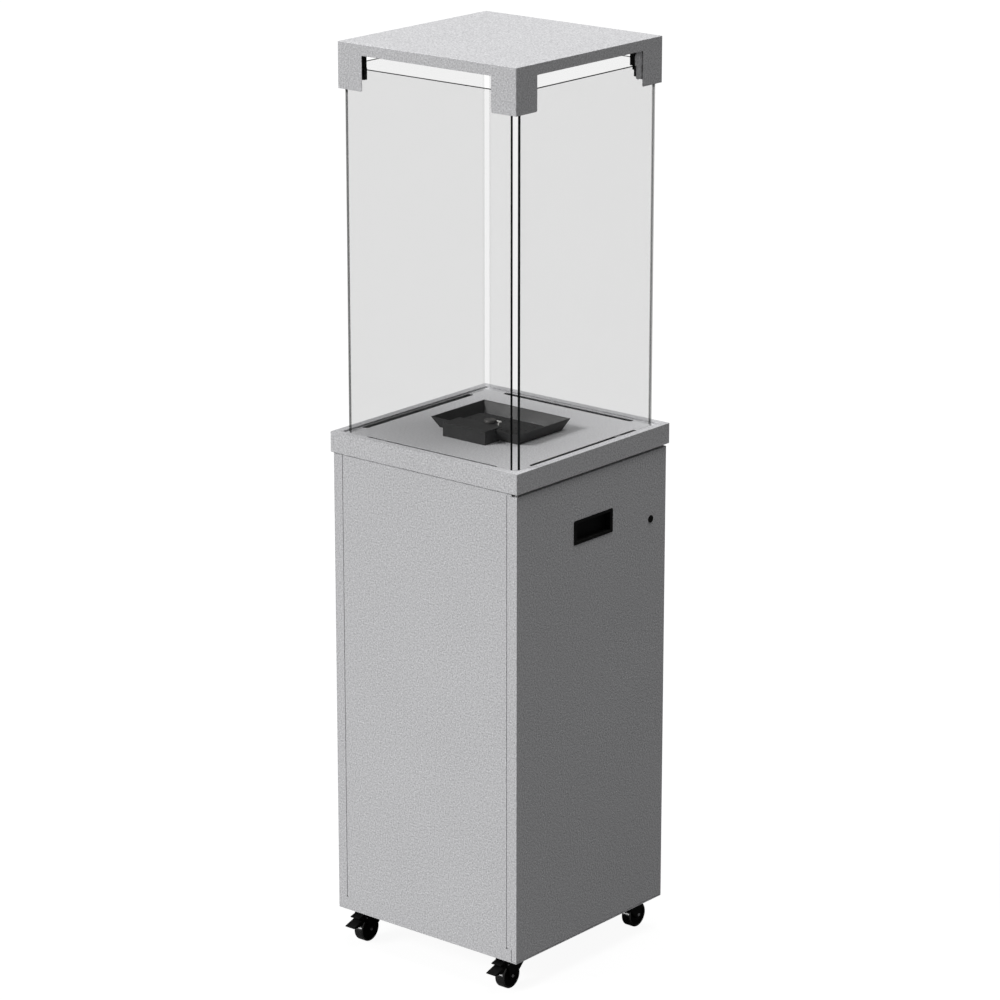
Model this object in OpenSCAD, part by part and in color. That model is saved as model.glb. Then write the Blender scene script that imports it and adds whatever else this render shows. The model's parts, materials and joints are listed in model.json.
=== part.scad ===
// Square gas patio heater on castors: cabinet with door, table rim and burner,
// glass flame chamber and folded roof. +Z up, door on +X, plain front on -Y,
// origin on the floor under the centre. All sizes in millimetres.

/* [Cabinet] */
// width and depth of the cabinet
body_w = 400; // [330:5:480]
// cabinet height, underside to rim
cabinet_h = 822; // [680:1:990]
// thickness of the folded sheet
sheet_t = 1.2; // [1:0.1:2]
// outside radius of the folded corners
fold_r = 4; // [2:0.5:6]
// distance of the front slits from the side faces
slit_inset = 21.3; // [19:0.5:26]
// width of a front slit
slit_w = 1; // [0.6:0.1:2]
// plain height left under a front slit
slit_foot = 24; // [15:1:60]

/* [Table rim] */
// overhang of the table rim past the cabinet
rim_over = 3; // [1:0.5:10]
// height of the table rim
rim_h = 35; // [25:1:50]
// width of the lip around the table plate
lip_w = 14; // [10:0.5:15]
// depth of the table plate under the lip
plate_drop = 3; // [2:0.5:6]
// length of each table slot
slot_l = 282; // [200:2:300]
// width of each table slot
slot_w = 12; // [8:1:12]

/* [Glass] */
// distance of a glass edge inside the roof corner
glass_short = 14; // [12:0.5:30]
// thickness of each glass panel
glass_t = 5; // [4:0.5:6]
// distance of the glass behind the roof sides
glass_inset = 3.5; // [3.2:0.1:6]
// distance from roof top to glass top
glass_drop = 41; // [36:1:60]

/* [Roof] */
// distance of the roof sides inside the cabinet sides
roof_in = 11; // [0:0.5:20]
// depth of the corner flaps
roof_h = 77.5; // [60:0.5:110]
// open height between rim and corner flaps
open_h = 582.5; // [450:5:700]
// width of a corner flap
flap_w = 52.5; // [35:0.5:60]
// depth of the roof side between the flaps
fascia_h = 18.5; // [12:0.5:26]
// width of a glass clip
clip_w = 20; // [18:1:30]
// clip distance inside the roof corner, door side
clip_door_in = 60; // [56:1:90]
// clip distance inside the roof corner, front left
clip_front_in = 42; // [36:1:90]
// clip distance inside the roof corner, behind the flaps
clip_hidden_in = 37; // [32:1:40]

/* [Burner] */
// tray width at the top
tray_w = 189; // [150:1:230]
// tray depth at the top
tray_d = 140; // [110:1:160]
// tray height
tray_h = 20; // [14:1:30]
// how much narrower the tray floor is, each end
tray_slope_x = 9; // [5:1:15]
// how much narrower the tray floor is, front and back
tray_slope_y = 12.5; // [5:0.5:15]
// pilot hood width
hood_w = 92; // [70:1:110]
// radius of the spark electrode's wire
wire_r = 1; // [0.6:0.1:1.5]
// pilot hood height
hood_h = 23.5; // [22:0.5:30]
// pilot hood distance in front of the centre
hood_y = 96; // [90:1:110]
// depth of the pilot hood's top
hood_d = 44; // [36:1:48]

/* [Door] */
// open gap between the door and the rim
door_gap = 5.5; // [3:0.5:8]
// depth of the door's folded rear edge
door_edge = 15; // [12:1:16]
// distance of the hinge pin inside the corner
hinge_in = 3.2; // [3:0.1:5]
// width of the handle cup
handle_w = 104; // [80:1:120]
// height of the handle cup
handle_h = 42; // [34:1:60]
// handle centre below the rim
handle_drop = 101; // [40:1:300]
// lock distance inside the cabinet side
lock_in = 44; // [38:1:60]
// lock centre below the rim
lock_drop = 124; // [60:1:300]
// radius of the lock face
lock_r = 6.5; // [6:0.5:9]

/* [Castors] */
// height of a castor
castor_h = 60; // [58:1:64]
// distance of a castor's swivel inside the side face
castor_inset = 41.2; // [38:0.2:60]
// distance of the axle behind the swivel
trail = 14.7; // [12:0.1:16]
// tyre radius
wheel_r = 22.5; // [20:0.5:23]
// tyre width
wheel_w = 18; // [14:0.5:18]
// width of a castor's mounting plate
plate_w = 60; // [56:1:64]

/* [Hidden] */
$fn = 64;
hw = body_w/2;
rim_w = body_w + 2*rim_over;
roof_w = body_w - 2*roof_in;
glass_w = roof_w - 2*glass_short;
clip_door = roof_w/2 - clip_door_in;
clip_front = roof_w/2 - clip_front_in;
clip_hidden = roof_w/2 - clip_hidden_in;
lock_y = hw - lock_in;
z0 = castor_h;
z1 = z0 + cabinet_h;
z2 = z1 + rim_h;
zp = z2 - plate_drop;
zf = z2 + open_h;
zt = zf + roof_h;
zg = zt - glass_drop;
t = sheet_t;
base_t = 1.5;
post_leg = 18;
post_t = 1.5;
hx = hw - hinge_in;
return_l = 10;
return_gap = sqrt(pow(return_l - hinge_in, 2) + pow(hinge_in, 2)) - (return_l - hinge_in) + 0.35;
front_end = hw - return_l - return_gap;
slit_x = hw - slit_inset;
slit_foot_z = z0 + slit_foot;
slide_gap = 0.3;
rear_end = hw - door_edge - 0.5;
door_z0 = z0 + 2.5;
door_z1 = z1 - door_gap;
pin_r = 2;
run = 0.05;
lip_in = rim_w/2 - lip_w;
g_out = roof_w/2 - glass_inset;
g_in = g_out - glass_t;
hz = z1 - handle_drop;
lz = z1 - lock_drop;
cup_deep = 14;
cup_rim = 5.5;
cam_l = 30;
box_h = 60;
box_w = 200;
box_d = 150;
box_z = zp - t - box_h;
panel_x = 150;
knob_z = box_z - 42;
valve_h = 56;
burner_w = 150;
burner_d = 76;
burner_h = 6;
pilot_y = -45;
sw = hw - castor_inset;
bolt_s = 44;
cp_t = 2.5;
axle_r = 3;
crown_top = castor_h - 6.3;
crown_t = 4.2;
hub_y = -26.2;
hub_z = castor_h - 13;
arm_in = wheel_w/2 + 1.5;
arm_t = 2;
pin_end = arm_in + arm_t;
castor_at = [[-1, -1], [1, -1], [1, 1], [-1, 1]];

grey = [0.70, 0.70, 0.71];
dark = [0.10, 0.10, 0.11];
steel = [0.62, 0.62, 0.63];
clear = [0.80, 0.86, 0.86, 0.35];

module rsq(w, d, r) {
    union() {
        square([w - 2*r, d], center = true);
        square([w, d - 2*r], center = true);
        for (sx = [-1, 1], sy = [-1, 1])
            translate([sx*(w/2 - r), sy*(d/2 - r)]) circle(r);
    }
}
module frame_ring(o, i, za, zb, r) {
    translate([0, 0, za]) linear_extrude(zb - za) difference() {
        rsq(o, o, r);
        square([i, i], center = true);
    }
}
module box(x0, x1, y0, y1, za, zb) {
    translate([x0, y0, za]) cube([x1 - x0, y1 - y0, zb - za]);
}
module rod_x(r, x0, x1, y, z) {
    translate([x0, y, z]) rotate([0, 90, 0]) cylinder(r = r, h = x1 - x0);
}
module side_plate(pts, x0, x1) {
    translate([x0, 0, 0]) rotate([90, 0, 90]) linear_extrude(x1 - x0) polygon(pts);
}
module bend_tube(r, xa, ya, za, xb, yb, zb, zrun) {
    union() {
        translate([xa, ya, za]) cylinder(r = r, h = zrun - za);
        translate([xa, ya, zrun]) sphere(r);
        rod_x(r, min(xa, xb), max(xa, xb), ya, zrun);
        translate([xb, ya, zrun]) sphere(r);
        if (yb != ya)
            translate([xb, max(ya, yb), zrun]) rotate([90, 0, 0]) cylinder(r = r, h = abs(yb - ya));
        if (yb != ya)
            translate([xb, yb, zrun]) sphere(r);
        translate([xb, yb, zrun]) cylinder(r = r, h = zb - zrun);
    }
}
module taper_block(w, d, h, sx, sy) {
    intersection() {
        translate([0, d, 0]) rotate([90, 0, 0]) linear_extrude(2*d)
            polygon([[-w/2 + sx, 0], [w/2 - sx, 0], [w/2, h], [-w/2, h]]);
        translate([-w, 0, 0]) rotate([90, 0, 90]) linear_extrude(2*w)
            polygon([[-d/2 + sy, 0], [d/2 - sy, 0], [d/2, h], [-d/2, h]]);
    }
}
module hexagon(r, h) {
    linear_extrude(h) circle(r, $fn = 6);
}

// ---- fixed cabinet ----
module base_plate() {
    color(grey) translate([0, 0, z0]) linear_extrude(base_t) difference() {
        union() {
            rsq(body_w - 2*t, body_w - 2*t, fold_r - t);
            translate([front_end + 0.4, -hw]) square([hw - front_end - 0.4, hw]);
            intersection() {
                translate([rear_end + 0.4, 0]) square([hw, hw]);
                rsq(body_w, body_w, fold_r);
            }
        }
        translate([hx, -hx]) circle(pin_r + run);
        for (c = castor_at, ax = [-1, 1], ay = [-1, 1])
            translate([c[0]*sw + ax*bolt_s/2, c[1]*sw + ay*bolt_s/2]) circle(2.75);
    }
}
module castor_plates() {
    color(dark) for (c = castor_at) translate([c[0]*sw, c[1]*sw, 0]) union() {
        translate([0, 0, castor_h - cp_t]) linear_extrude(cp_t) difference() {
            rsq(plate_w, plate_w, 5);
            for (ax = [-1, 1], ay = [-1, 1])
                translate([ax*bolt_s/2, ay*bolt_s/2]) circle(2.75);
        }
        translate([0, 0, crown_top + 0.3]) cylinder(r = 11, h = castor_h - cp_t - crown_top - 0.3);
        translate([0, 0, crown_top - crown_t - 2]) cylinder(r = 4, h = crown_t + 3);
        translate([0, 0, crown_top - crown_t - 2.3]) cylinder(r = 6.5, h = 2);
    }
}
module castor_bolts() {
    color(steel) for (c = castor_at, ax = [-1, 1], ay = [-1, 1])
        translate([c[0]*sw + ax*bolt_s/2, c[1]*sw + ay*bolt_s/2, 0]) union() {
            translate([0, 0, castor_h - cp_t - 1.8]) cylinder(r = 4.5, h = 1.8);
            translate([0, 0, castor_h - cp_t - 0.5]) cylinder(r = 2.5, h = 9);
        }
}
module castor_nuts() {
    color(steel) for (c = castor_at, ax = [-1, 1], ay = [-1, 1])
        translate([c[0]*sw + ax*bolt_s/2, c[1]*sw + ay*bolt_s/2, z0 + base_t]) difference() {
            hexagon(4.6, 4);
            translate([0, 0, -1]) cylinder(r = 2.5, h = 6);
        }
}
module slit_end(x) {
    translate([x, -hw + t + 1, slit_foot_z]) rotate([90, 0, 0])
        cylinder(r = slit_w/2 + 1, h = t + 2);
}
module front_panel() {
    color(grey) difference() {
        union() {
            box(-hw + fold_r, slit_x - slit_w/2, -hw, -hw + t, z0, z1);
            box(slit_x - slit_w, front_end, -hw, -hw + t, z0, slit_foot_z - slide_gap);
            box(slit_x - slit_w, front_end, -hw, -hw + t, door_z1 + slide_gap, z1);
        }
        box(-slit_x - slit_w/2, -slit_x + slit_w/2, -hw - 1, -hw + t + 1, slit_foot_z, z1 - 2);
        slit_end(-slit_x);
        slit_end(slit_x);
    }
}
module back_panel() {
    color(grey) box(-hw + fold_r, rear_end, hw - t, hw, z0, z1);
}
module left_panel() {
    color(grey) translate([0, 0, z0]) linear_extrude(cabinet_h) union() {
        translate([-hw, -hw + fold_r]) square([t, body_w - 2*fold_r]);
        for (s = [-1, 1]) intersection() {
            translate([-hw + fold_r, s*(hw - fold_r)]) difference() {
                circle(fold_r);
                circle(fold_r - t);
            }
            translate([-hw, s > 0 ? hw - fold_r : -hw]) square(fold_r);
        }
    }
}
module corner_posts() {
    color(grey) translate([0, 0, z0 + base_t]) linear_extrude(cabinet_h - base_t) {
        for (s = [-1, 1]) mirror([0, s > 0 ? 1 : 0]) {
            translate([-hw + fold_r, -hw + t]) square([post_leg - fold_r, post_t]);
            translate([-hw + t, -hw + fold_r]) square([post_t, post_leg - fold_r]);
            translate([-hw + fold_r, -hw + fold_r]) circle(fold_r - t - 0.05);
            translate([hw - 24 - post_leg, -hw + t]) square([post_leg, post_t]);
            translate([hw - 24 - post_leg, -hw + t]) square([post_t, post_leg]);
        }
    }
}
module lock_keeper() {
    color(steel) union() {
        box(rear_end - t, rear_end, hw - t - 19, hw - t, lz - 18, lz + 18);
        box(rear_end - 8, rear_end, hw - t - 1.5, hw - t, lz - 18, lz + 18);
    }
}
module table_rim() {
    color(grey) difference() {
        union() {
            frame_ring(rim_w, rim_w - 2*t, z1, z2, 2);
            frame_ring(rim_w, 2*lip_in, z2 - t, z2, 2);
            frame_ring(2*(lip_in + t), 2*lip_in, zp - 2*t, z2, 0.8);
            frame_ring(rim_w, body_w - 60, z1, z1 + t, 2);
        }
        translate([hx, -hx, z1 - 1]) cylinder(r = pin_r + run, h = t + 2);
    }
}
module table_plate() {
    color(grey) translate([0, 0, zp - t]) linear_extrude(t) difference() {
        square(2*lip_in, center = true);
        for (a = [0, 90, 180, 270]) rotate(a)
            translate([0, -(g_in + g_out)/2 + 2]) union() {
                square([slot_l - slot_w, slot_w], center = true);
                for (s = [-1, 1]) translate([s*(slot_l - slot_w)/2, 0]) circle(slot_w/2);
            }
        translate([0, 0]) circle(6);
        translate([20, pilot_y]) circle(3);
    }
}

// ---- glass and roof ----
module glass_pane() {
    box(-glass_w/2, glass_w/2, -g_out, -g_in, zp, zg);
}
module glass_front() { color(clear) glass_pane(); }
module glass_right() { color(clear) rotate([0, 0, 90]) glass_pane(); }
module glass_back() { color(clear) rotate([0, 0, 180]) glass_pane(); }
module glass_left() { color(clear) rotate([0, 0, 270]) glass_pane(); }

module at_clips() {
    for (a = [0, 1, 2, 3]) rotate([0, 0, 90*a]) for (s = [-1, 1]) {
        far = a == 1 ? s > 0 : s < 0;
        near_in = a == 0 || a == 2 ? clip_front : clip_door;
        translate([s*(far ? near_in : clip_hidden), 0, 0]) let($deep = a == 0 || a == 2) children();
    }
}
module glass_clips() {
    color(steel) at_clips() union() {
        translate([0, -g_out, 0]) rotate([90, 0, 0]) linear_extrude(1.5)
            polygon([[-clip_w/2, zg], [clip_w/2, zg], [clip_w/2, zt - t - 25],
                     [clip_w/2 - 5, zt - t - 16], [clip_w/2 - 5, zt - t], [5 - clip_w/2, zt - t],
                     [5 - clip_w/2, zt - t - 16], [-clip_w/2, zt - t - 25]]);
        box(-7, 7, -g_out - 1.5, -g_out, zg - 18, zg + 1);
        box(-2, 2, -g_out - 1.5, -g_out, zg - 23, zg - 17);
        for (e = [-2, 2]) translate([e, -g_out, zg - 18]) rotate([90, 0, 0]) cylinder(r = 5, h = 1.5);
    }
}
module clip_pads() {
    color(dark) at_clips() union() {
        box(1 - clip_w/2, clip_w/2 - 1, -g_out, -g_in + 6, zg, zg + 20);
        if ($deep) box(-8, 8, -g_in, -g_in + 8, zg - 19, zg + 1);
        if (!$deep) box(-2, 8, -g_in, -g_in + 3, zg - 19, zg + 1);
    }
}
module roof_cover() {
    color(grey) difference() {
        translate([0, 0, zf]) linear_extrude(roof_h) rsq(roof_w, roof_w, 2);
        box(-roof_w/2 + t, roof_w/2 - t, -roof_w/2 + t, roof_w/2 - t, zf - 1, zt - t);
        for (a = [0, 90]) rotate([0, 0, a]) {
            box(-roof_w/2 + flap_w, roof_w/2 - flap_w, -roof_w, roof_w, zf - 1, zt - fascia_h);
            for (s = [-1, 1], e = [-1, 1]) translate([e*(roof_w/2 - flap_w), 0, zf]) difference() {
                box(-3, 3, s > 0 ? roof_w/2 - 2*t : -roof_w/2 - 1,
                    s > 0 ? roof_w/2 + 1 : -roof_w/2 + 2*t, -1, 3);
                translate([e*3, roof_w/2 + 2, 3]) rotate([90, 0, 0]) cylinder(r = 3, h = roof_w + 4);
                box(e > 0 ? 3 : -4, e > 0 ? 4 : -3, -roof_w, roof_w, -2, 4);
            }
        }
    }
}

// ---- burner ----
module burner_tray() {
    color(dark) translate([0, 0, zp]) difference() {
        taper_block(tray_w, tray_d, tray_h, tray_slope_x, tray_slope_y);
        translate([0, 0, t]) taper_block(tray_w - 2*t, tray_d - 2*t, tray_h,
                                         tray_slope_x, tray_slope_y);
        translate([0, 0, -1]) cylinder(r = 6, h = 4);
        translate([20, pilot_y, -1]) cylinder(r = 3, h = 4);
    }
}
module burner_head() {
    color(dark) translate([0, 0, zp + t]) difference() {
        linear_extrude(burner_h) rsq(burner_w, burner_d, 6);
        translate([0, 0, -1]) linear_extrude(burner_h) rsq(burner_w - 4, burner_d - 4, 4);
        for (i = [-6 : 6], j = [-1, 0, 1])
            translate([i*11, j*24, burner_h - 3]) cylinder(r = 1.6, h = 4);
    }
}
module burner_box() {
    color(steel) difference() {
        box(-box_w/2, box_w/2, -box_d/2, box_d/2, box_z, zp - t);
        box(-box_w/2 + 1, box_w/2 - 1, -box_d/2 + 1, box_d/2 - 1, box_z + 1, zp);
        translate([0, 0, box_z - 1]) cylinder(r = 6, h = 4);
        translate([20, pilot_y, box_z - 1]) cylinder(r = 3, h = 4);
    }
}
module pilot_hood() {
    side = [[-hood_y, 0], [-tray_d/2 + tray_slope_y - 1.5, 0], [-tray_d/2 - 1.5, tray_h],
            [-tray_d/2 - 1.5, hood_h], [-hood_y, hood_h]];
    color(dark) translate([0, 0, zp]) union() {
        box(-hood_w/2, hood_w/2, -hood_y, -hood_y + t, 0, hood_h);
        box(-hood_w/2, hood_w/2, -hood_y, -hood_y + hood_d, hood_h - t, hood_h);
        side_plate(side, -hood_w/2, -hood_w/2 + t);
        side_plate(side, hood_w/2 - t, hood_w/2);
        translate([0, 0, hood_h - t]) linear_extrude(t) intersection() {
            translate([17, -hood_y + hood_d - 13.6]) circle(31.6);
            translate([-20, -hood_y + hood_d - 1]) square([74, 30]);
        }
    }
}
module pilot_bracket() {
    color(steel) translate([0, 0, zp + t]) union() {
        box(-6, 34, -51.5, -50.3, 0, hood_h - 2*t);
        difference() {
            box(-6, 34, -51.5, -41, 0, t);
            translate([20, pilot_y, -1]) cylinder(r = 3, h = 4);
        }
    }
}
module pilot_burner() {
    color(steel) translate([14, pilot_y + 1, zp + hood_h]) cylinder(r = 10.5, h = 5);
}
module spark_electrode() {
    bend_r = wire_r + 0.25;
    color([0.92, 0.91, 0.88]) translate([37, -42, zp + hood_h]) union() {
        translate([0, -8, 0]) cylinder(r = wire_r + 0.5, h = 3);
        translate([0, -8, 2]) cylinder(r = bend_r, h = 3.5);
        translate([0, -8, 4]) rotate([-90, 0, 0]) cylinder(r = wire_r, h = 8);
        translate([0, 0, 2.5]) cylinder(r = bend_r, h = 3);
        rod_x(wire_r, -10, 0, 0, 4);
    }
}
module thermocouple() {
    color([0.72, 0.45, 0.28]) translate([6, pilot_y, zp + 2*t]) union() {
        cylinder(r = 3, h = 3);
        cylinder(r = 1.8, h = hood_h - 3*t);
    }
}
module valve_bracket() {
    color(steel) union() {
        difference() {
            box(40, panel_x, -60, 60, box_z - 1.5, box_z);
            translate([panel_x - 20, 0, box_z - 3]) cylinder(r = 4.5, h = 4);
            translate([panel_x - 20, -12, box_z - 3]) cylinder(r = 2.6, h = 4);
        }
        difference() {
            box(panel_x - 1.5, panel_x, -60, 60, knob_z - 40, box_z);
            rod_x(5, panel_x - 3, panel_x + 2, 0, knob_z);
        }
    }
}
module gas_valve() {
    color([0.75, 0.64, 0.35]) difference() {
        union() {
            box(panel_x - 1.5 - 34, panel_x - 1.5, -18, 18, knob_z - valve_h/2, knob_z + valve_h/2);
            rod_x(4.8, panel_x - 3, panel_x + 3, 0, knob_z);
        }
        rod_x(3 + run, panel_x - 16, panel_x + 4, 0, knob_z);
    }
}
module feed_pipe() {
    color([0.72, 0.45, 0.28])
        bend_tube(4, panel_x - 20, 0, knob_z + valve_h/2, 0, 0, zp + t + 1, box_z - 8);
}
module pilot_pipe() {
    color([0.72, 0.45, 0.28])
        bend_tube(2, panel_x - 20, -12, knob_z + valve_h/2, 20, pilot_y, zp + hood_h - t, box_z - 8);
}
module gas_inlet() {
    color([0.75, 0.64, 0.35]) translate([panel_x - 20, 0, knob_z - valve_h/2 - 34]) union() {
        cylinder(r = 4.8, h = 26);
        translate([0, 0, 25]) hexagon(9, 9);
    }
}
module control_knob() {
    color(dark) difference() {
        union() {
            rod_x(18, panel_x + 4, panel_x + 10, 0, knob_z);
            rod_x(15, panel_x + 10, panel_x + 22, 0, knob_z);
            rod_x(3, panel_x - 15, panel_x + 5, 0, knob_z);
        }
        box(panel_x + 16, panel_x + 23, -16, -4, knob_z - 16, knob_z + 16);
        box(panel_x + 16, panel_x + 23, 4, 16, knob_z - 16, knob_z + 16);
    }
}

// ---- door ----
module door_panel() {
    color(grey) difference() {
        union() {
            translate([0, 0, door_z0]) linear_extrude(door_z1 - door_z0) union() {
                translate([hw - t, -hw]) square([t, body_w - fold_r]);
                translate([hw - return_l, -hw]) square([return_l, t]);
                translate([hw - door_edge, hw - t]) square([door_edge - fold_r, t]);
                intersection() {
                    translate([hw - fold_r, hw - fold_r]) difference() {
                        circle(fold_r);
                        circle(fold_r - t);
                    }
                    translate([hw - fold_r, hw - fold_r]) square(fold_r);
                }
            }
            box(slit_x + slit_w/2, hw - return_l + 1, -hw, -hw + t, slit_foot_z, door_z1);
            for (z = [door_z0, door_z1 - t])
                box(hw - 12, hw - t, -hw + t + 0.5, hw - fold_r, z, z + t);
        }
        slit_end(slit_x);
        box(hw - 20, hw + 1, -handle_w/2 + 3, handle_w/2 - 3,
            hz - handle_h/2 + 3, hz + handle_h/2 - 3);
        rod_x(5.5, hw - 3, hw + 1, lock_y, lz);
    }
}
module door_stiffeners() {
    color(grey) for (y = [-125, 95]) difference() {
        box(hw - t - 10, hw - t, y, y + 30, door_z0 + t + 6, door_z1 - t - 6);
        box(hw - t - 10 + 1.2, hw, y + 1.2, y + 28.8, z0, z1);
    }
}
module hinge_pins() {
    color(steel) union() {
        translate([hx, -hx, z0 + 0.3]) cylinder(r = pin_r, h = door_z0 - z0 - 0.3);
        translate([hx, -hx, door_z1]) cylinder(r = pin_r, h = z1 - door_z1 + t - 0.2);
    }
}
module handle_cup() {
    color(dark) difference() {
        union() {
            translate([hw, 0, hz]) rotate([90, 0, 90]) linear_extrude(1) rsq(handle_w, handle_h, 3);
            box(hw - cup_deep, hw + 0.5, -handle_w/2 + 3, handle_w/2 - 3,
                hz - handle_h/2 + 3, hz + handle_h/2 - 3);
        }
        box(hw - cup_deep + 1.5, hw + 2, -handle_w/2 + cup_rim + 2, handle_w/2 - cup_rim - 2,
            hz - handle_h/2 + cup_rim, hz + handle_h/2 - cup_rim);
    }
}
module lock_barrel() {
    color(steel) difference() {
        union() {
            rod_x(lock_r, hw, hw + 1.2, lock_y, lz);
            rod_x(5.5, hw - 17, hw + 0.5, lock_y, lz);
        }
        rod_x(3.6 + run, hw - 18, hw + 2, lock_y, lz);
    }
}
module lock_nut() {
    color(steel) difference() {
        translate([hw - t - 4, lock_y, lz]) rotate([0, 90, 0]) hexagon(9, 4);
        rod_x(5.5, hw - 10, hw, lock_y, lz);
    }
}
module lock_plug() {
    color(steel) difference() {
        union() {
            rod_x(3.6, hw - 17.2, hw + 1.4, lock_y, lz);
            rod_x(2.4, hw - 19.8, hw - 17.1, lock_y, lz);
        }
        box(hw - 2, hw + 2, lock_y - 0.5, lock_y + 0.5, lz - 2.4, lz + 2.4);
    }
}
module lock_cam() {
    color(steel) difference() {
        union() {
            rod_x(7, hw - 19.4, hw - 17.4, lock_y, lz);
            box(hw - 19.4, hw - 17.4, lock_y - 6, lock_y + 6, lz - cam_l, lz);
        }
        rod_x(2.4, hw - 20, hw - 17, lock_y, lz);
    }
}

// ---- castors, drawn with the swivel on the Z axis and the wheel towards -Y ----
module place(i) {
    translate([castor_at[i][0]*sw, castor_at[i][1]*sw, 0])
        rotate([0, 0, castor_at[i][1] > 0 ? 180 : 0]) children();
}
module arm(x0, brake) {
    tail = brake ? -31 : -24;
    difference() {
        union() {
            side_plate([[14.5, crown_top], [14.5, 41], [1.2, 28], [-8, 19], [-trail - 7, wheel_r],
                        [-25, 38], [tail, 44], [tail, crown_top]], x0, x0 + arm_t);
            rod_x(7, x0, x0 + arm_t, -trail, wheel_r);
        }
        rod_x(axle_r, x0 - 1, x0 + arm_t + 1, -trail, wheel_r);
        if (brake) rod_x(1.5, x0 - 1, x0 + arm_t + 1, hub_y, hub_z);
    }
}
module fork(brake) {
    color(dark) difference() {
        union() {
            arm(arm_in, brake);
            arm(-arm_in - arm_t, brake);
            translate([0, 0, crown_top - crown_t]) linear_extrude(crown_t) union() {
                circle(14.5);
                translate([-pin_end, -20]) square([2*pin_end, 34.5]);
            }
        }
        translate([0, 0, crown_top - crown_t - 1]) cylinder(r = 4 + run, h = crown_t + 2);
    }
}
module pins(brake) {
    color(steel) union() {
        rod_x(axle_r, -pin_end, pin_end, -trail, wheel_r);
        if (brake) rod_x(1.5, -pin_end, pin_end, hub_y, hub_z);
    }
}
module wheel() {
    color(dark) translate([0, -trail, wheel_r]) rotate([0, 90, 0]) difference() {
        union() {
            translate([0, 0, -wheel_w/2 - 0.5]) cylinder(r = 7, h = wheel_w + 1);
            translate([0, 0, -wheel_w/2 + 2.5]) cylinder(r = wheel_r - 3.5, h = wheel_w - 5);
            for (s = [-1, 1]) translate([0, 0, s*(wheel_w/2 - 1.75) - 1.25]) difference() {
                cylinder(r = wheel_r - 3.5, h = 2.5);
                translate([0, 0, -1]) cylinder(r = wheel_r - 6, h = 5);
            }
        }
        translate([0, 0, -wheel_w]) cylinder(r = axle_r + run, h = 2*wheel_w);
    }
}
module tyre() {
    color(dark) translate([0, -trail, wheel_r]) rotate([0, 90, 0]) rotate_extrude() union() {
        translate([wheel_r - 3.5, -wheel_w/2]) square([1.75, wheel_w]);
        translate([wheel_r - 3.5, -wheel_w/2 + 1.75]) square([3.5, wheel_w - 3.5]);
        for (s = [-1, 1]) translate([wheel_r - 1.75, s*(wheel_w/2 - 1.75)]) circle(1.75);
    }
}
module pedal() {
    color(dark) translate([0, hub_y, hub_z]) difference() {
        union() {
            side_plate([[-32.5, -11.2], [-15, -12.5], [-10.5, -10.5], [-5.5, -5.5], [-0.8, -3],
                        [1.7, 0], [-1, 3.3], [-8, 6.3], [-19, 3.3], [-18.5, 1.6],
                        [-9.8, 2.2], [-7.8, 0.2], [-9.8, -2.4], [-32.3, -9.7]],
                       -arm_in + 0.5, arm_in - 0.5);
            rod_x(3.4, -arm_in + 0.5, arm_in - 0.5, 0, 0);
        }
        rod_x(1.5 + run, -arm_in, arm_in, 0, 0);
    }
}
module castor_fl_fork() { place(0) fork(true); }
module castor_fl_pins() { place(0) pins(true); }
module castor_fl_wheel() { place(0) wheel(); }
module castor_fl_tyre() { place(0) tyre(); }
module castor_fl_pedal() { place(0) pedal(); }
module castor_fr_fork() { place(1) fork(true); }
module castor_fr_pins() { place(1) pins(true); }
module castor_fr_wheel() { place(1) wheel(); }
module castor_fr_tyre() { place(1) tyre(); }
module castor_fr_pedal() { place(1) pedal(); }
module castor_rr_fork() { place(2) fork(false); }
module castor_rr_pins() { place(2) pins(false); }
module castor_rr_wheel() { place(2) wheel(); }
module castor_rr_tyre() { place(2) tyre(); }
module castor_rl_fork() { place(3) fork(false); }
module castor_rl_pins() { place(3) pins(false); }
module castor_rl_wheel() { place(3) wheel(); }
module castor_rl_tyre() { place(3) tyre(); }

base_plate();
castor_plates();
castor_bolts();
castor_nuts();
front_panel();
back_panel();
left_panel();
corner_posts();
lock_keeper();
table_rim();
table_plate();
glass_front();
glass_right();
glass_back();
glass_left();
glass_clips();
clip_pads();
roof_cover();
burner_tray();
burner_head();
burner_box();
pilot_hood();
pilot_bracket();
pilot_burner();
spark_electrode();
thermocouple();
valve_bracket();
gas_valve();
feed_pipe();
pilot_pipe();
gas_inlet();
control_knob();
door_panel();
door_stiffeners();
hinge_pins();
handle_cup();
lock_barrel();
lock_nut();
lock_plug();
lock_cam();
castor_fl_fork();
castor_fl_pins();
castor_fl_wheel();
castor_fl_tyre();
castor_fl_pedal();
castor_fr_fork();
castor_fr_pins();
castor_fr_wheel();
castor_fr_tyre();
castor_fr_pedal();
castor_rr_fork();
castor_rr_pins();
castor_rr_wheel();
castor_rr_tyre();
castor_rl_fork();
castor_rl_pins();
castor_rl_wheel();
castor_rl_tyre();
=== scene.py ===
import json
from math import radians

import bmesh
import bpy
from mathutils import Matrix, Vector

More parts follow.
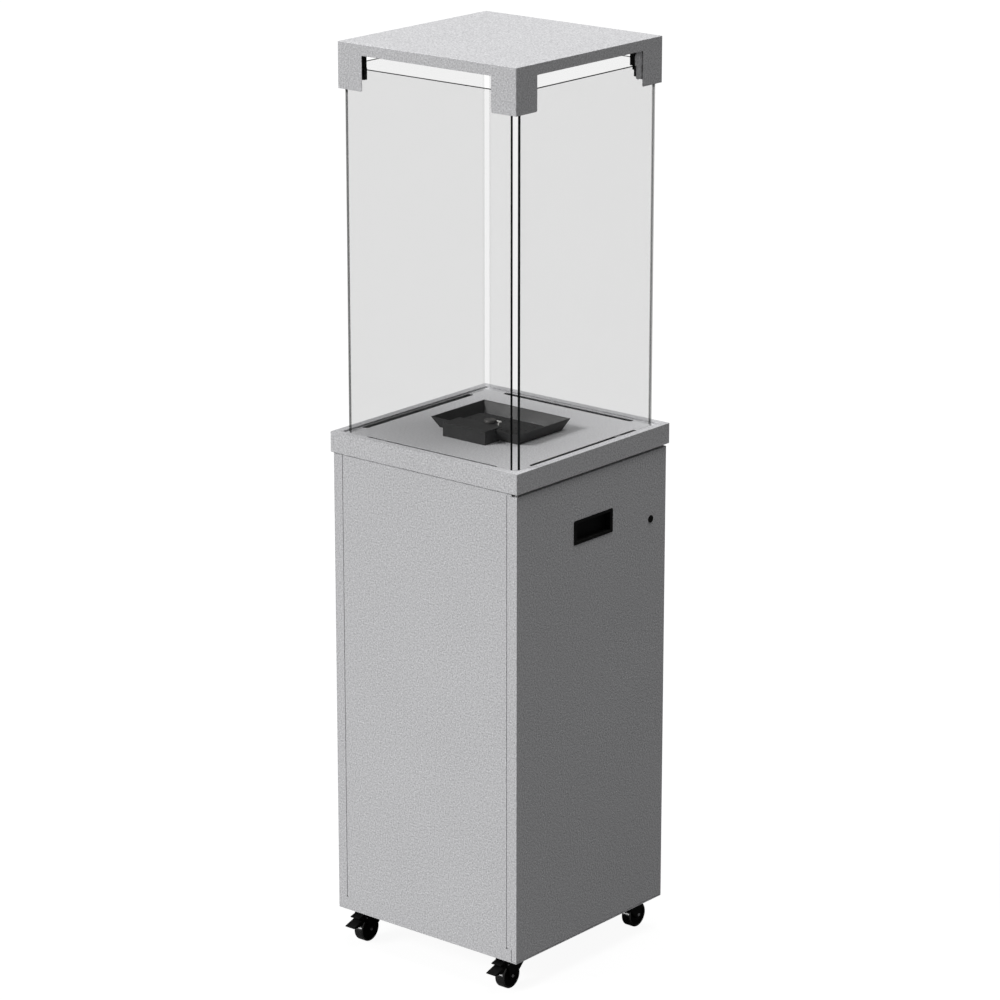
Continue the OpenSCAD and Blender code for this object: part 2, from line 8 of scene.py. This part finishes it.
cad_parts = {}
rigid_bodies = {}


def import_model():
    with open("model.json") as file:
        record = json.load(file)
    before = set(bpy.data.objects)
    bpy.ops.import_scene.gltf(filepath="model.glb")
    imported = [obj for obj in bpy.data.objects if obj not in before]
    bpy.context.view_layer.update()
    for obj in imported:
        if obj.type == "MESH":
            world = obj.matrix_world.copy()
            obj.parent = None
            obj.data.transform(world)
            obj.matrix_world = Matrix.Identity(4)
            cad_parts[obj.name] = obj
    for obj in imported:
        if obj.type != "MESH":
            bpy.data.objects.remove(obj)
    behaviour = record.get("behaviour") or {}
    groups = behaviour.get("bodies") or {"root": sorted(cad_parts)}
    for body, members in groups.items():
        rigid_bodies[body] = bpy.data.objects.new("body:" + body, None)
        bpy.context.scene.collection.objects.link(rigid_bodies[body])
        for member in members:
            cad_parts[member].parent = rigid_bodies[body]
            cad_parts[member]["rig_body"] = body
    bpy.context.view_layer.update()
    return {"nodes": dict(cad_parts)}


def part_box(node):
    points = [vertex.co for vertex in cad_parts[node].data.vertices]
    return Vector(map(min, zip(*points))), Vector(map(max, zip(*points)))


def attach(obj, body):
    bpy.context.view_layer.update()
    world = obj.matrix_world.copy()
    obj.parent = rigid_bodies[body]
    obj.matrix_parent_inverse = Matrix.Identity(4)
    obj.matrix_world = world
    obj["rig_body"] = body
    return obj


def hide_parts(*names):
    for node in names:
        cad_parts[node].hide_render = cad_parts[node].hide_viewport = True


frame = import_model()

# Cabinet sheets: front, back and left side folded from thin steel, with the base
# plate and the corner posts. All of it has one silver-grey powder coat, which
# dries with a fine orange-peel grain. The folded arrises are slightly round.


class Wire:
    """A socket in a node material, or the material's own tree when it holds no socket."""

    def __init__(self, tree, socket=None):
        self.tree = tree
        self.socket = socket

    def node(self, kind, settings, inputs, out=0):
        made = self.tree.nodes.new("ShaderNode" + kind)
        for key, value in settings.items():
            setattr(made, key, value)
        for key, value in inputs.items():
            if isinstance(value, Wire):
                self.tree.links.new(value.socket, made.inputs[key])
            else:
                made.inputs[key].default_value = value
        return Wire(self.tree, made.outputs[out] if made.outputs else None)

    def maths(self, operation, one, two):
        return self.node("Math", {"operation": operation}, {0: one, 1: two})

    def __add__(self, other):
        return self.maths("ADD", self, other)

    def __radd__(self, other):
        return self.maths("ADD", other, self)

    def __sub__(self, other):
        return self.maths("SUBTRACT", self, other)

    def __rsub__(self, other):
        return self.maths("SUBTRACT", other, self)

    def __mul__(self, other):
        return self.maths("MULTIPLY", self, other)

    def __rmul__(self, other):
        return self.maths("MULTIPLY", other, self)

    def noise(self, place, scale, detail=2.0, rough=0.5):
        """Soft grain, with scale in waves to the metre."""
        return self.node("TexNoise", {}, {"Vector": place, "Scale": scale,
                                          "Detail": detail, "Roughness": rough})

    def span(self, low, high, to_low=0.0, to_high=1.0):
        """This value, stretched so that low to high becomes to_low to to_high."""
        return self.node("MapRange", {}, {0: self, 1: low, 2: high, 3: to_low, 4: to_high})

    def between(self, low, high):
        """A colour between two colours, by this value."""
        return self.node("Mix", {"data_type": "RGBA"}, {0: self, 6: (*low, 1), 7: (*high, 1)}, 2)


def finish(name, look):
    """A node material: look(tree, place) returns its surface, from the object's coordinates."""
    material = bpy.data.materials.new(name)
    material.use_nodes = True
    material.node_tree.nodes.clear()
    tree = Wire(material.node_tree)
    place = tree.node("TexCoord", {}, {}, 3)
    tree.node("OutputMaterial", {}, {0: look(tree, place)})
    return material


def coated(tree, low, high, patch, roughness, grain, depth, inputs):
    """A surface whose colour drifts between low and high, with a bump from a height in metres."""
    inputs = dict(inputs)
    inputs["Base Color"] = patch.between(low, high)
    inputs["Roughness"] = roughness
    inputs["Normal"] = tree.node("Bump", {}, {"Strength": 1.0, "Distance": depth,
                                              "Height": grain})
    return tree.node("BsdfPrincipled", {}, inputs)


def coat_grain(tree, place, dark, pale):
    """Powder coat: orange peel between a dark and a pale grey, over a faint cloud."""
    peel = tree.noise(place, 360, 3, 0.6)
    cloud = tree.noise(place, 6, 3)
    patch = cloud.span(0.3, 0.7) * 0.04 + peel.span(0.3, 0.7) * 0.96
    return coated(tree, (dark, dark, dark + 0.01), (pale, pale, pale + 0.015), patch,
                  peel.span(0.3, 0.7, 0.5, 0.62), peel, 0.0007,
                  {"Specular IOR Level": 0.3})


sheet_dark, sheet_pale = 0.37, 0.75
powder_coat = finish("powder_coat",
                     lambda tree, place: coat_grain(tree, place, sheet_dark, sheet_pale))
sharp_turn = 50  # degrees, past which an edge is shaded sharp


def solid_piece(name, shape, material, slot, body, *nodes):
    """Turns a bmesh into a piece that rides on a body and stands for CAD nodes."""
    for face in shape.faces:
        face.smooth = True
    for edge in shape.edges:
        edge.smooth = not (edge.is_manifold and edge.calc_face_angle() > radians(sharp_turn))
    mesh = bpy.data.meshes.new(name)
    shape.to_mesh(mesh)
    shape.free()
    piece = bpy.data.objects.new(name, mesh)
    bpy.context.scene.collection.objects.link(piece)
    mesh.materials.append(material)
    flat = piece.modifiers.new("flat faces", "WEIGHTED_NORMAL")
    flat.weight = 100
    flat.keep_sharp = True
    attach(piece, body)
    if nodes:
        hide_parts(*nodes)
    return piece


weld_gap = 0.000002
flat_within = 0.3  # degrees, under which two faces are one


def merged_copy(node):
    """The node's mesh, merged, with its flat faces whole again."""
    shape = bmesh.new()
    shape.from_mesh(frame["nodes"][node].data)
    bmesh.ops.remove_doubles(shape, verts=shape.verts, dist=weld_gap)
    bmesh.ops.dissolve_limit(shape, angle_limit=radians(flat_within),
                             verts=shape.verts, edges=shape.edges)
    return shape


arris_turn = 35  # degrees, past which an edge is an arris


def ease(shape, width, steps=2):
    """Rounds every arris."""
    arrises = [e for e in shape.edges
               if e.is_manifold and e.calc_face_angle() > radians(arris_turn)]
    bmesh.ops.bevel(shape, geom=arrises, offset=width, offset_type="OFFSET", segments=steps,
                    profile=0.5, affect="EDGES", clamp_overlap=True, material=-1)


def eased(name, node, material, slot, width, steps=2):
    """A CAD part as it leaves the shop, with its arrises eased, in its finish."""
    shape = merged_copy(node)
    ease(shape, width, steps)
    return solid_piece(name, shape, material, slot, frame["nodes"][node]["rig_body"], node)


sheet_arris = 0.0004
for name, node in (("front_sheet", "front_panel"), ("back_sheet", "back_panel"),
                   ("left_sheet", "left_panel"), ("cabinet_base", "base_plate"),
                   ("inner_posts", "corner_posts")):
    eased(name, node, powder_coat, "shell", sheet_arris)

# Castors: a pressed black plate and fork, a moulded black wheel with a hard
# polished tread, a zinc axle, and on the front pair a black brake pedal.


def black_paint_look(tree, place):
    cloud = tree.noise(place, 60, 3)
    peel = tree.noise(place, 900, 2)
    return coated(tree, (0.003, 0.003, 0.003), (0.008, 0.008, 0.008), cloud.span(0.3, 0.7),
                  cloud.span(0.3, 0.7, 0.36, 0.5), peel, 0.0001, {"Specular IOR Level": 0.1})


def moulded_look(tree, place):
    cloud = tree.noise(place, 90, 3)
    grain = tree.noise(place, 1500, 2)
    return coated(tree, (0.003, 0.003, 0.003), (0.008, 0.008, 0.008), cloud.span(0.3, 0.7),
                  cloud.span(0.3, 0.7, 0.42, 0.55), grain, 0.00012, {"Specular IOR Level": 0.1})


def tread_look(tree, place):
    scuff = tree.noise(place, 160, 4, 0.65)
    dust = tree.noise(place, 700, 2)
    patch = scuff.span(0.45, 0.75) * 0.6 + dust.span(0.5, 0.8) * 0.4
    return coated(tree, (0.004, 0.004, 0.004), (0.015, 0.015, 0.014), patch,
                  scuff.span(0.3, 0.8, 0.2, 0.32), scuff * 0.5 + dust * 0.5, 0.00008,
                  {"Coat Weight": 1.0, "Coat Roughness": 0.15, "Coat IOR": 1.8})


def zinc_look(tree, place):
    spangle = tree.node("TexVoronoi", {}, {"Vector": place, "Scale": 240.0}, 1)
    grey = tree.node("RGBToBW", {}, {0: spangle})
    smear = tree.noise(place, 35, 3)
    return coated(tree, (0.46, 0.47, 0.48), (0.66, 0.66, 0.66), grey * 0.5 + smear * 0.5,
                  smear.span(0.3, 0.7, 0.28, 0.42), tree.noise(place, 800, 2), 0.00005,
                  {"Metallic": 1.0})


black_paint = finish("black_paint", black_paint_look)
moulded_black = finish("moulded_black", moulded_look)
hard_tread = finish("hard_tread", tread_look)
zinc = finish("zinc_plate", zinc_look)
pressed_arris = 0.0005
moulded_arris = 0.0006
turned_arris = 0.0004
fine_arris = 0.0003
eased("castor_mounts", "castor_plates", black_paint, "black_metal", pressed_arris)
eased("mount_bolts", "castor_bolts", zinc, "plain_steel", turned_arris)
eased("mount_nuts", "castor_nuts", zinc, "plain_steel", fine_arris)
for corner in ("fl", "fr", "rr", "rl"):
    eased(f"fork_{corner}", f"castor_{corner}_fork", black_paint, "black_metal", pressed_arris)
    eased(f"axle_{corner}", f"castor_{corner}_pins", zinc, "plain_steel", pressed_arris)
    eased(f"wheel_{corner}", f"castor_{corner}_wheel", moulded_black, "black_plastic",
          moulded_arris)
    eased(f"tread_{corner}", f"castor_{corner}_tyre", hard_tread, "tread", fine_arris)
for corner in ("fl", "fr"):
    eased(f"brake_pedal_{corner}", f"castor_{corner}_pedal", moulded_black, "black_plastic",
          moulded_arris)

# Table: a folded rim with a raised lip, and the plate let into it, both powder
# coated. The plate's coat is a shade lighter: painted light that makes up for the
# light the plate lacks under the glass and roof. The four long slots let air past the glass.
rim_arris = 0.0006
# painted light: the plate's greys sit above the sheets' to stand in for light it lacks under the
# roof and glass
plate_dark_painted_light, plate_pale_painted_light = 0.48, 0.84
painted_light_plate_coat = finish("painted_light_plate_coat",
                    lambda tree, place: coat_grain(tree, place, plate_dark_painted_light, plate_pale_painted_light))
eased("table_frame", "table_rim", powder_coat, "shell", rim_arris)
eased("table_top", "table_plate", painted_light_plate_coat, "shell", fine_arris)

# Glass: four toughened panes with ground edges, standing in a square. The faces
# are clear with a light smoke tint. The ground edges carry painted shade: near
# black, and most opaque along the top and near the front corner on the door side.
edge_grind = 0.0006
edge_shade_reach = 0.36
crown_foot, crown_top = 1.49, 1.50
downward = -0.3  # a face whose normal points lower is a pane's underside


def pane_look(tree, place):
    film = tree.noise(place, 3, 2)
    slant = tree.node("LayerWeight", {}, {"Blend": 0.5}, 1)
    return tree.node("BsdfPrincipled", {}, {
        "Base Color": film.span(0.3, 0.7).between((0.03, 0.032, 0.032), (0.04, 0.042, 0.042)),
        "Roughness": film.span(0.3, 0.7, 0.02, 0.05),
        "Alpha": slant * slant * slant * 0.12 + 0.083})


def painted_shade_edge_look(tree, place):
    grind = tree.noise(place, 900, 2)
    across = tree.node("SeparateXYZ", {}, {0: place}, 0)
    along = tree.node("SeparateXYZ", {}, {0: place}, 1)
    # painted shade: the ground edges turn near-black and opaque towards the front corner on the
    # door side, and more so along the top
    crown = tree.node("SeparateXYZ", {}, {0: place}, 2).span(crown_foot, crown_top)
    dark = (across - along).span(-edge_shade_reach, edge_shade_reach, 0.12, 1.0)
    return coated(tree, (0.004, 0.005, 0.005), (0.012, 0.014, 0.014), grind, 0.3, grind, 0.00004,
                  {"Alpha": dark + crown * 0.4, "Specular IOR Level": 0.05})


clear_glass = finish("clear_glass", pane_look)
painted_shade_edge = finish("painted_shade_edge", painted_shade_edge_look)
for side in ("front", "right", "back", "left"):
    low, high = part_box(f"glass_{side}")
    shape = bmesh.new()
    bmesh.ops.create_cube(shape, size=1)
    stretch = Matrix.Diagonal((*(high - low), 1))
    bmesh.ops.transform(shape, matrix=Matrix.Translation((low + high) / 2) @ stretch,
                        verts=shape.verts)
    ease(shape, edge_grind)
    broad = sorted(shape.faces, key=lambda face: face.calc_area())[-2:]
    for face in shape.faces:
        face.material_index = int(face not in broad and face.normal.z > downward)
    pane = solid_piece(f"pane_{side}", shape, clear_glass, "glass", "cabinet", f"glass_{side}")
    pane.data.materials.append(painted_shade_edge)

# Clips: bent steel tongues that hang the panes from the roof, each with black rubber
# above the glass and behind it. The steel carries a painted reflection: faces towards
# the door side and its opposite take the roof's grey coat, those at front and back black paint.


def rubber_look(tree, place):
    bloom = tree.noise(place, 120, 4)
    return coated(tree, (0.003, 0.003, 0.003), (0.01, 0.01, 0.01), bloom.span(0.35, 0.7),
                  bloom.span(0.3, 0.7, 0.6, 0.8), bloom, 0.0002, {"Specular IOR Level": 0.2})


black_rubber = finish("black_rubber", rubber_look)
shape = merged_copy("glass_clips")
# painted reflection: faces lying nearer the front or back than the sides get black paint, the
# rest the grey coat
for face in shape.faces:
    middle = face.calc_center_median()
    face.material_index = int(abs(middle.y) > abs(middle.x))
ease(shape, fine_arris)
clips = solid_piece("pane_clips", shape, powder_coat, "plain_steel", "cabinet", "glass_clips")
clips.data.materials.append(black_paint)
rubber_round = 0.0008
eased("clip_rubbers", "clip_pads", black_rubber, "black_rubber", rubber_round)

# Roof: one folded sheet cover, powder coated like the cabinet. It has a deep flap
# at each corner, and hot air leaves through the gaps between them.
roof_arris = 0.0008
eased("roof_sheet", "roof_cover", powder_coat, "shell", roof_arris, 3)

# Burner: a pressed tray with sloping walls, a drilled plate over the burner box
# and a hood over the pilot flame, all in matt black heat-proof paint.


def heat_paint_look(tree, place):
    soot = tree.noise(place, 26, 4, 0.6)
    chalk = tree.noise(place, 420, 2)
    patch = soot.span(0.35, 0.7) * 0.6 + chalk.span(0.4, 0.7) * 0.4
    return coated(tree, (0.019, 0.019, 0.019), (0.039, 0.039, 0.039), patch,
                  soot.span(0.3, 0.7, 0.42, 0.6), chalk, 0.0002, {})


heat_paint = finish("heat_paint", heat_paint_look)
hood_arris = 0.0006
eased("fire_tray", "burner_tray", heat_paint, "tray_black", pressed_arris)
eased("port_plate", "burner_head", heat_paint, "tray_black", pressed_arris)
eased("pilot_cover", "pilot_hood", heat_paint, "tray_black", hood_arris)

# Pilot set: a zinc-plated bracket, the pilot burner's cap in burnt steel, a copper
# thermocouple, and a glazed white electrode bent from one wire.


def glaze_look(tree, place):
    craze = tree.noise(place, 300, 3)
    return coated(tree, (0.72, 0.71, 0.68), (0.86, 0.85, 0.82), craze, 0.22, craze, 0.00005,
                  {"Coat Weight": 0.4})


def copper_look(tree, place):
    tarnish = tree.noise(place, 45, 4, 0.6)
    return coated(tree, (0.42, 0.17, 0.09), (0.80, 0.42, 0.26), tarnish.span(0.3, 0.65),
                  tarnish.span(0.3, 0.7, 0.42, 0.22), tree.noise(place, 600, 2), 0.00005,
                  {"Metallic": 1.0})


def burnt_steel_look(tree, place):
    scale = tree.noise(place, 220, 4, 0.6)
    return coated(tree, (0.10, 0.10, 0.10), (0.22, 0.21, 0.20), scale.span(0.3, 0.7),
                  scale.span(0.3, 0.7, 0.4, 0.6), scale, 0.00006, {"Metallic": 0.7})


glaze = finish("white_glaze", glaze_look)
burnt_steel = finish("burnt_steel", burnt_steel_look)
copper = finish("drawn_copper", copper_look)


def bent_rod(route, radius, bend, sides, steps):
    """A round bar that runs along a route of points, with its corners bent."""
    shape = bmesh.new()
    first = (route[1] - route[0]).normalized()
    turn = first.to_track_quat("Z", "Y").to_matrix().to_4x4()
    bmesh.ops.create_circle(shape, cap_ends=True, radius=radius, segments=sides,
                            matrix=Matrix.Translation(route[0]) @ turn)
    bmesh.ops.reverse_faces(shape, faces=shape.faces)
    ring = shape.edges[:]
    here = route[0]
    for i in range(1, len(route)):
        way = (route[i] - here).normalized()
        last = i == len(route) - 1
        reach = (route[i] - here).length - (0 if last else bend)
        grown = bmesh.ops.extrude_edge_only(shape, edges=ring)["geom"]
        ends = [g for g in grown if isinstance(g, bmesh.types.BMVert)]
        bmesh.ops.translate(shape, vec=way * reach, verts=ends)
        ring = [g for g in grown
                if isinstance(g, bmesh.types.BMEdge) and set(g.verts) <= set(ends)]
        here = here + way * reach
        if last:
            break
        onward = (route[i + 1] - route[i]).normalized()
        axis = way.cross(onward).normalized()
        centre = here + onward * bend
        spun = bmesh.ops.spin(shape, geom=ring, cent=centre, axis=axis, angle=way.angle(onward),
                              steps=steps, use_merge=False)["geom_last"]
        ring = [g for g in spun if isinstance(g, bmesh.types.BMEdge)]
        here = route[i] + onward * bend
    bmesh.ops.contextual_create(shape, geom=ring)
    bmesh.ops.recalc_face_normals(shape, faces=shape.faces)
    return shape


cap_round = 0.0012
eased("pilot_stand", "pilot_bracket", zinc, "plain_steel", fine_arris)
eased("pilot_cap", "pilot_burner", burnt_steel, "plain_steel", cap_round, 3)
eased("thermocouple_rod", "thermocouple", copper, "copper", turned_arris)
low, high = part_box("spark_electrode")
wire_radius = 0.001
wire_bend = 0.0016
foot_radius = 0.0015
bend_crown = 0.0015
top = high.z - bend_crown
stem = Vector((high.x - foot_radius, low.y + foot_radius, low.z))
route = [stem, Vector((stem.x, stem.y, top)), Vector((stem.x, high.y - wire_radius, top)),
         Vector((low.x, high.y - wire_radius, top))]
shape = bent_rod(route, wire_radius, wire_bend, sides=12, steps=5)
solid_piece("spark_wire", shape, glaze, "ceramic", "cabinet", "spark_electrode")

# Gas train under the table: a folded burner box, a steel bracket with the brass
# valve and its inlet nipple, copper tubes to the burner and the pilot, and the
# black knob behind the door.


def brass_look(tree, place):
    tarnish = tree.noise(place, 70, 4, 0.6)
    turned = tree.noise(place, 500, 2)
    return coated(tree, (0.45, 0.30, 0.12), (0.78, 0.60, 0.28), tarnish.span(0.3, 0.65),
                  tarnish.span(0.3, 0.7, 0.38, 0.22), turned, 0.00008, {"Metallic": 1.0})


brass = finish("turned_brass", brass_look)
cast_round = 0.001
nipple_arris = 0.0006
tube_arris = 0.0002
eased("burner_housing", "burner_box", zinc, "plain_steel", fine_arris)
eased("valve_plate", "valve_bracket", zinc, "plain_steel", fine_arris)
eased("valve_body", "gas_valve", brass, "brass", cast_round, 3)
eased("inlet_nipple", "gas_inlet", brass, "brass", nipple_arris)
eased("gas_knob", "control_knob", moulded_black, "black_plastic", cast_round, 3)
for name, node in (("burner_tube", "feed_pipe"), ("pilot_tube", "pilot_pipe")):
    eased(name, node, copper, "copper", tube_arris)

# Door: one folded sheet with a return on the hinge side and a deeper edge on the
# lock side, two pressed stiffeners inside, and a pin at the top and the bottom.
eased("door_sheet", "door_panel", powder_coat, "shell", sheet_arris)
eased("door_ribs", "door_stiffeners", powder_coat, "shell", sheet_arris)
eased("door_pins", "hinge_pins", zinc, "plain_steel", turned_arris)

# Handle: a moulded black cup let into the door near its top, with a thin flange
# around it, for the fingers that pull the door open.
eased("pull_cup", "handle_cup", moulded_black, "black_plastic", moulded_arris, 3)

# Lock: a black cam lock near the door's free edge, with a zinc nut and cam
# behind the sheet and the keeper on the cabinet.
eased("lock_body", "lock_barrel", black_paint, "plain_steel", turned_arris)
eased("lock_face", "lock_plug", black_paint, "plain_steel", fine_arris)
eased("lock_ring_nut", "lock_nut", zinc, "plain_steel", turned_arris)
eased("lock_tongue", "lock_cam", zinc, "plain_steel", fine_arris)
eased("lock_catch", "lock_keeper", zinc, "plain_steel", fine_arris)

# Studio: a plain white floor and room, with one soft lamp overhead, one from the
# front left and a low strip for the treads' shine. The camera has a long lens and
# stands on the door side.
floor_half = 30
floor_glow = 0.94


def floor_look(tree, place):
    """White to the camera, and a dim ground to everything that it lights."""
    seen = tree.node("LightPath", {}, {}, 0)
    tint = tree.noise(place, 2, 1).between((0.08, 0.08, 0.08), (0.085, 0.085, 0.085))
    pale = tree.node("BsdfDiffuse", {}, {"Color": tint})
    glow = tree.node("Emission", {}, {"Color": (1, 1, 1, 1), "Strength": floor_glow})
    shown = tree.node("AddShader", {}, {0: pale, 1: glow})
    dim = tree.node("BsdfDiffuse", {}, {"Color": (0.10, 0.10, 0.10, 1)})
    return tree.node("MixShader", {}, {0: seen, 1: dim, 2: shown})


shape = bmesh.new()
bmesh.ops.create_grid(shape, x_segments=1, y_segments=1, size=floor_half)
mesh = bpy.data.meshes.new("floor")
shape.to_mesh(mesh)
shape.free()
floor = bpy.data.objects.new("floor", mesh)
bpy.context.scene.collection.objects.link(floor)
mesh.materials.append(finish("white_floor", floor_look))

room_light = 0.215
room_white = 1.0
world = bpy.data.worlds.new("studio")
world.use_nodes = True
world.node_tree.nodes.clear()
room = Wire(world.node_tree)
ambient = room.node("Background", {}, {"Color": (1, 1, 1, 1), "Strength": room_light})
white = room.node("Background", {}, {"Color": (1, 1, 1, 1), "Strength": room_white})
to_camera = room.node("LightPath", {}, {}, 0)
mixed = room.node("MixShader", {}, {0: to_camera, 1: ambient, 2: white})
room.node("OutputWorld", {}, {0: mixed})
bpy.context.scene.world = world

for name, energy, spread, towards in (("top_light", 2.0, 0.5, (0.11, 0.12, 0.98)),
                                      ("front_light", 2.72, 0.35, (-0.42, -0.73, 0.54))):
    lamp = bpy.data.lights.new(name, "SUN")
    lamp.energy = energy
    lamp.angle = spread
    stand = bpy.data.objects.new(name, lamp)
    stand.rotation_euler = Vector(towards).to_track_quat("Z", "Y").to_euler()
    bpy.context.scene.collection.objects.link(stand)

strip_place = (-1.45, -1.9, 0.12)
strip_away = (-1.45, -1.7, 0)
strip = bpy.data.lights.new("low_strip", "AREA")
strip.shape = "RECTANGLE"
strip.size = 0.8
strip.size_y = 0.2
strip.energy = 4
strip_stand = bpy.data.objects.new("low_strip", strip)
strip_stand.location = strip_place
strip_stand.rotation_euler = Vector(strip_away).to_track_quat("Z", "Y").to_euler()
bpy.context.scene.collection.objects.link(strip_stand)

camera_place = (4.1153, -4.9636, 2.7260)
camera_tilt, camera_turn = 73.278, 39.671
lens = bpy.data.cameras.new("camera")
lens.sensor_width = 36
lens.lens = 143.27
lens.clip_end = 100
camera = bpy.data.objects.new("camera", lens)
camera.location = camera_place
camera.rotation_euler = (radians(camera_tilt), 0, radians(camera_turn))
bpy.context.scene.collection.objects.link(camera)
bpy.context.scene.camera = camera
bpy.context.scene.view_settings.view_transform = "Standard"

bpy.context.view_layer.update()
